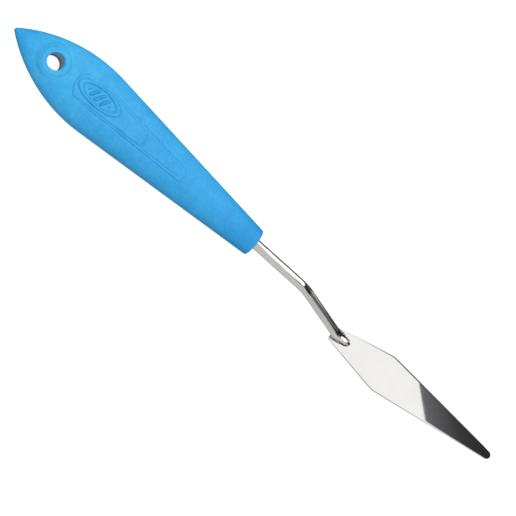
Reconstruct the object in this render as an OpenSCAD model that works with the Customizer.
// Cranked palette knife, in millimetres. A kite-shaped spring steel leaf is welded under
// the foot of a bent steel shank, whose tang is held in a handle moulded in two shots:
// a hard core and a coloured skin. The knife lies as it does on a table, on the rim of
// the ring under its hanging hole and on the heel of its leaf. +X points from tail to
// tip and +Z is up. The origin is at the bottom centre of the bounding box.

/* [Handle] */
// Length of the handle
handle_l = 112; // [106:1:118]
// Greatest width of the handle
handle_w = 25; // [23:0.5:27]
// Greatest thickness of the handle
handle_t = 11; // [10:0.2:12]
// Width of the front end
front_w = 11; // [10:0.2:12]
// Thickness of the front end
front_t = 7.4; // [7.2:0.1:9]
// Width of the blunt point at the tail
tail_w = 1.1; // [0.8:0.1:1.6]
// Thickness of the blunt point at the tail
tail_t = 1.8; // [1.4:0.1:2.4]
// Distance from the tail to the widest section
widest_x = 33.5; // [31:0.5:36]
// Distance from the tail to the thickest section
thickest_x = 42; // [40:1:48]
// Radius round the edge of the front end
front_round = 0.6; // [0.4:0.1:1]
// Thickness of the coloured skin over the core
skin_t = 1.4; // [1.2:0.1:1.6]

/* [Hanging hole] */
// Distance from the tail to the hole
hole_x = 16.8; // [15:0.2:18]
// Diameter of the hole
hole_d = 6; // [5:0.1:6.5]
// Outer diameter of the flat ring round the hole
ring_d = 10.2; // [9.6:0.2:11]
// Thickness of the handle between the two ring faces
ring_t = 7.4; // [7.2:0.1:7.8]
// Width and depth of the groove round the ring
groove = 0.2; // [0.15:0.05:0.3]

/* [Shank] */
// Diameter of the steel rod
rod_d = 4; // [3.6:0.1:4.4]
// Length of the tang inside the handle
tang_l = 60; // [50:1:66]
// Distance from the tail to the elbow
elbow_x = 138; // [132:1:144]
// Angle by which the elbow turns down
crank_angle = 33.5; // [28:0.5:38]
// Length of the leg from the elbow to the foot
leg_l = 35; // [30:0.5:40]
// Radius of the elbow at the middle of the rod
elbow_r = 12; // [8:1:16]

/* [Leaf] */
// Thickness of the leaf
leaf_t = 0.5; // [0.4:0.05:0.7]
// Greatest width of the leaf
leaf_w = 16.7; // [15:0.1:18]
// Width across the heel
heel_w = 6.4; // [6:0.1:7.4]
// Angle by which the leaf rises from the line of the handle
leaf_pitch = 13; // [10:0.5:16]
// Distance from the foot to the shoulders
shoulder_x = 24; // [20:0.5:28]
// Distance from the foot to the tip
tip_x = 77.5; // [70:0.5:84]
// Radius of the tip
tip_r = 1.9; // [1.5:0.1:2.3]

/* [Hidden] */
$fn = 64;
// Overshoot of a cutting solid
over = 1;

// Exponent of the rounded section, fuller at the tail and an ellipse at the front
tail_fullness = 2.35;
front_fullness = 2;

// Core, inside the skin
core_start = 5;
front_wall = 3;
core_end = handle_l - front_wall;

// Rings of points along and round the lofted forms
skin_rings = 30;
skin_sides = 32;
core_rings = 16;
core_sides = 24;
rod_sides = 32;
bend_rings = 8;
end_rings = 5;

// Foot: the rod turns along the leaf, is pressed flat below into a tongue that sits a little
// to the left, and is cut to a slope on top
rod_r = rod_d / 2;
foot_bend_r = 5;
foot_axis_h = 1.6;
foot_end_x = 6.3;
foot_slope = 18;
foot_slope_x = 1.3;
foot_turn = crank_angle + leaf_pitch;
tongue_t = 0.9;
tongue_w = 3.8;
tongue_shift = 0.3;
tongue_heel_r = 0.8;
tongue_tip_r = 1.6;

// Size of the cubes that trim the foot and the beads
trim = 16;

// Distance from each bend's corner to its start, and the place of the foot's corner
elbow_set = elbow_r * tan(crank_angle / 2);
foot_set = foot_bend_r * tan(foot_turn / 2);
foot_x = elbow_x + leg_l * cos(crank_angle);
foot_z = -leg_l * sin(crank_angle);

// Pinched wings that lock the tang in the core
wing_l = 3;
wing_t = 0.9;
wing_w = 6.2;
wing_gap = 12;

// Leaf, measured along itself from below the foot
heel_x = -2;
heel_r = 1.2;
shoulder_r = 8;

// Weld beads beside the foot, from its middle to the left and to the right bead
bead_r = 0.65;
bead_y = [2.3, 1.7];
bead_start = -1.2;
bead_end = 2.2;

// Pose on the table: a line from the rear of the lower ring's rim to the heel's lower edge
rim_x = hole_x - ring_d / 2;
rim_z = -ring_t / 2;
leaf_x = foot_x + foot_axis_h * sin(leaf_pitch);
leaf_z = foot_z - foot_axis_h * cos(leaf_pitch);
heel_low_x = leaf_x + heel_x * cos(leaf_pitch) + leaf_t * sin(leaf_pitch);
heel_low_z = leaf_z + heel_x * sin(leaf_pitch) - leaf_t * cos(leaf_pitch);
rest_tilt = atan2(rim_z - heel_low_z, heel_low_x - rim_x);
rest_lift = -(heel_low_x * sin(rest_tilt) + heel_low_z * cos(rest_tilt));
tail_back = -tail_t / 2 * sin(rest_tilt);
tip_front = (leaf_x + (tip_x - tip_r) * cos(leaf_pitch)) * cos(rest_tilt)
  - (leaf_z + (tip_x - tip_r) * sin(leaf_pitch)) * sin(rest_tilt)
  + tip_r * cos(leaf_pitch + rest_tilt) + leaf_t * sin(leaf_pitch + rest_tilt);
middle_x = (tail_back + tip_front) / 2;

// Distance that the rounded front edge takes off the outline
function front_cut(x) =
  let (reach = x - (handle_l - front_round))
  reach > 0 ? front_round - sqrt(max(0, pow(front_round, 2) - pow(reach, 2))) : 0;

// One side of the handle, from its half size at the tail, the crest and the front: an arc
// over the crest, then a straight taper. As [crest_x, arc radius, arc centre, end of the
// arc, slope of the taper, half size at the front]
function side_line(crest_x, tail, crest, front) =
  let (
    r = (pow(crest_x, 2) + pow(crest - tail, 2)) / (2 * (crest - tail)),
    to_front = [handle_l - crest_x, front - crest + r],
    turn = atan2(to_front.y, to_front.x) + acos(r / norm(to_front)),
    join_x = crest_x + r * cos(turn),
    slope = (crest - r + r * sin(turn) - front) / (handle_l - join_x)
  )
  [crest_x, r, crest - r, join_x, slope, front];

function side_at(line, x) =
  (x < line[3]
    ? line[2] + sqrt(pow(line[1], 2) - pow(x - line[0], 2))
    : line[5] + line[4] * (handle_l - x)) - front_cut(x);

plan_line = side_line(widest_x, tail_w / 2, handle_w / 2, front_w / 2);
height_line = side_line(thickest_x, tail_t / 2, handle_t / 2, front_t / 2);

function fullness(x) = tail_fullness + (front_fullness - tail_fullness) * x / handle_l;

// One coordinate of a rounded section: a circle's sine or cosine raised to a power
function swell(s, x) = sign(s) * pow(abs(s), 2 / fullness(x));

// One ring of points round a section of the handle, inset from its surface
function section_ring(x, inset, sides) = [
  for (k = [0:sides - 1])
    let (a = 360 * k / sides)
    [
      x,
      (side_at(plan_line, x) - inset) * swell(cos(a), x),
      (side_at(height_line, x) - inset) * swell(sin(a), x)
    ]
];

// Places of the rings, closer together towards both ends
function ring_places(x0, x1, rings) = [
  for (i = [0:rings - 1]) x0 + (x1 - x0) * (1 - cos(180 * i / (rings - 1))) / 2
];

// Triangles that join rings of points into a closed form
function loft_faces(rings, sides) = [
  [for (k = [0:sides - 1]) k],
  for (i = [0:rings - 2], k = [0:sides - 1])
    let (a = i * sides + k, b = i * sides + (k + 1) % sides)
    each [[a, a + sides, b], [b, a + sides, b + sides]],
  [for (k = [sides - 1:-1:0]) (rings - 1) * sides + k]
];

// Closed form lofted through sections of the handle from x0 to x1, inset from its surface
module handle_form(x0, x1, inset, rings, sides) {
  corners = [for (x = ring_places(x0, x1, rings)) each section_ring(x, inset, sides)];
  polyhedron(corners, loft_faces(rings, sides));
}

// Lays the knife on the table
module at_rest() {
  translate([-middle_x, 0, rest_lift]) rotate([0, -rest_tilt, 0]) children();
}

// Frame of the leaf: the origin is on its top face, below the middle of the foot's bend
module on_leaf() {
  translate([foot_x, 0, foot_z]) rotate([0, -leaf_pitch, 0])
    translate([0, 0, -foot_axis_h]) children();
}

module hanging_hole() {
  translate([hole_x, 0, 0]) cylinder(d = hole_d, h = handle_t + 2 * over, center = true);
}

// Sinks a seat with a groove's width to spare round each ring face
module ring_seats() {
  for (side = [0, 1]) mirror([0, 0, side])
    translate([hole_x, 0, ring_t / 2 - groove])
      cylinder(d = ring_d + 2 * groove, h = handle_t);
}

module tang_wings() {
  for (i = [0, 1])
    translate([handle_l - tang_l + wing_gap * (i + 1), 0, 0])
      cube([wing_l, wing_w, wing_t], center = true);
}

// Space that the tang fills in the handle
module tang_seat() {
  translate([handle_l - tang_l, 0, 0]) rotate([0, 90, 0])
    cylinder(d = rod_d, h = tang_l + over);
  tang_wings();
}

// Middle of the rod as [x, z, heading below +X, radius], from the tang to the round end
function rod_route() =
  let (
    leg_end = [
      elbow_x + (leg_l - foot_set) * cos(crank_angle), -(leg_l - foot_set) * sin(crank_angle)
    ],
    centre = leg_end + foot_bend_r * [sin(crank_angle), cos(crank_angle)],
    foot_run = foot_end_x - rod_r - foot_set,
    foot_start = centre + foot_bend_r * [sin(leaf_pitch), -cos(leaf_pitch)]
  )
  [
    [handle_l - tang_l, 0, 0, rod_r],
    for (i = [0:bend_rings])
      let (a = crank_angle * i / bend_rings)
      [elbow_x - elbow_set + elbow_r * sin(a), elbow_r * (cos(a) - 1), a, rod_r],
    for (i = [0:bend_rings])
      let (a = crank_angle - foot_turn * i / bend_rings)
      [centre.x - foot_bend_r * sin(a), centre.y - foot_bend_r * cos(a), a, rod_r],
    for (i = [0:end_rings - 1])
      let (a = 90 * i / end_rings, run = foot_run + rod_r * sin(a))
      [
        foot_start.x + run * cos(leaf_pitch), foot_start.y + run * sin(leaf_pitch),
        -leaf_pitch, rod_r * cos(a)
      ]
  ];

module rod() {
  corners = [
    for (p = rod_route(), k = [0:rod_sides - 1])
      let (a = 360 * k / rod_sides, up = p[3] * sin(a))
      [p[0] + up * sin(p[2]), p[3] * cos(a), p[1] + up * cos(p[2])]
  ];
  polyhedron(corners, loft_faces(len(rod_route()), rod_sides));
}

// Flat tongue of the foot in plan
module tongue_outline() {
  translate([0, tongue_shift]) hull() {
    for (side = [-1, 1])
      translate([bead_start + tongue_heel_r, side * (tongue_w / 2 - tongue_heel_r)])
        circle(r = tongue_heel_r);
    translate([foot_end_x - tongue_tip_r, 0]) circle(r = tongue_tip_r);
  }
}

// Everything below the leaf's top face, near the foot
module under_leaf_top() {
  translate([-trim, -trim / 2, -trim]) cube([2 * trim, trim, trim]);
}

// Everything above the slope that is cut on the foot
module over_slope() {
  translate([foot_slope_x, 0, foot_axis_h + rod_r]) rotate([0, foot_slope, 0])
    translate([0, -trim / 2, 0]) cube(trim);
}

module rod_and_foot() {
  difference() {
    union() {
      rod();
      on_leaf() linear_extrude(height = tongue_t) tongue_outline();
    }
    on_leaf() over_slope();
    on_leaf() under_leaf_top();
  }
}

module grip_skin() {
  color("dodgerblue") at_rest() difference() {
    union() {
      difference() {
        handle_form(0, handle_l, 0, skin_rings, skin_sides);
        ring_seats();
      }
      translate([hole_x, 0, 0]) cylinder(d = ring_d, h = ring_t, center = true);
    }
    handle_form(core_start, core_end, skin_t, core_rings, core_sides);
    hanging_hole();
    tang_seat();
  }
}

module handle_core() {
  color("slategray") at_rest() difference() {
    handle_form(core_start, core_end, skin_t, core_rings, core_sides);
    hanging_hole();
    tang_seat();
  }
}

module shank() {
  color("silver") at_rest() {
    rod_and_foot();
    tang_wings();
  }
}

module leaf_blade() {
  color("whitesmoke") at_rest() on_leaf() translate([0, 0, -leaf_t])
    linear_extrude(height = leaf_t) hull() {
      for (side = [-1, 1]) {
        translate([heel_x + heel_r, side * (heel_w / 2 - heel_r)]) circle(r = heel_r);
        translate([shoulder_x, side * (leaf_w / 2 - shoulder_r)])
          circle(r = shoulder_r, $fn = 128);
      }
      translate([tip_x - tip_r, 0]) circle(r = tip_r);
    }
}

// Bead of weld metal in the corner between the foot and the leaf: side 0 left, 1 right
module weld_bead(side) {
  color("gray") at_rest() difference() {
    on_leaf() mirror([0, side, 0]) {
      translate([bead_start, bead_y[side], 0]) rotate([0, 90, 0])
        cylinder(r = bead_r, h = bead_end - bead_start);
      for (x = [bead_start, bead_end]) translate([x, bead_y[side], 0]) sphere(r = bead_r);
    }
    on_leaf() under_leaf_top();
    rod_and_foot();
  }
}

module weld_bead_left() { weld_bead(0); }

module weld_bead_right() { weld_bead(1); }

grip_skin();
handle_core();
shank();
leaf_blade();
weld_bead_left();
weld_bead_right();
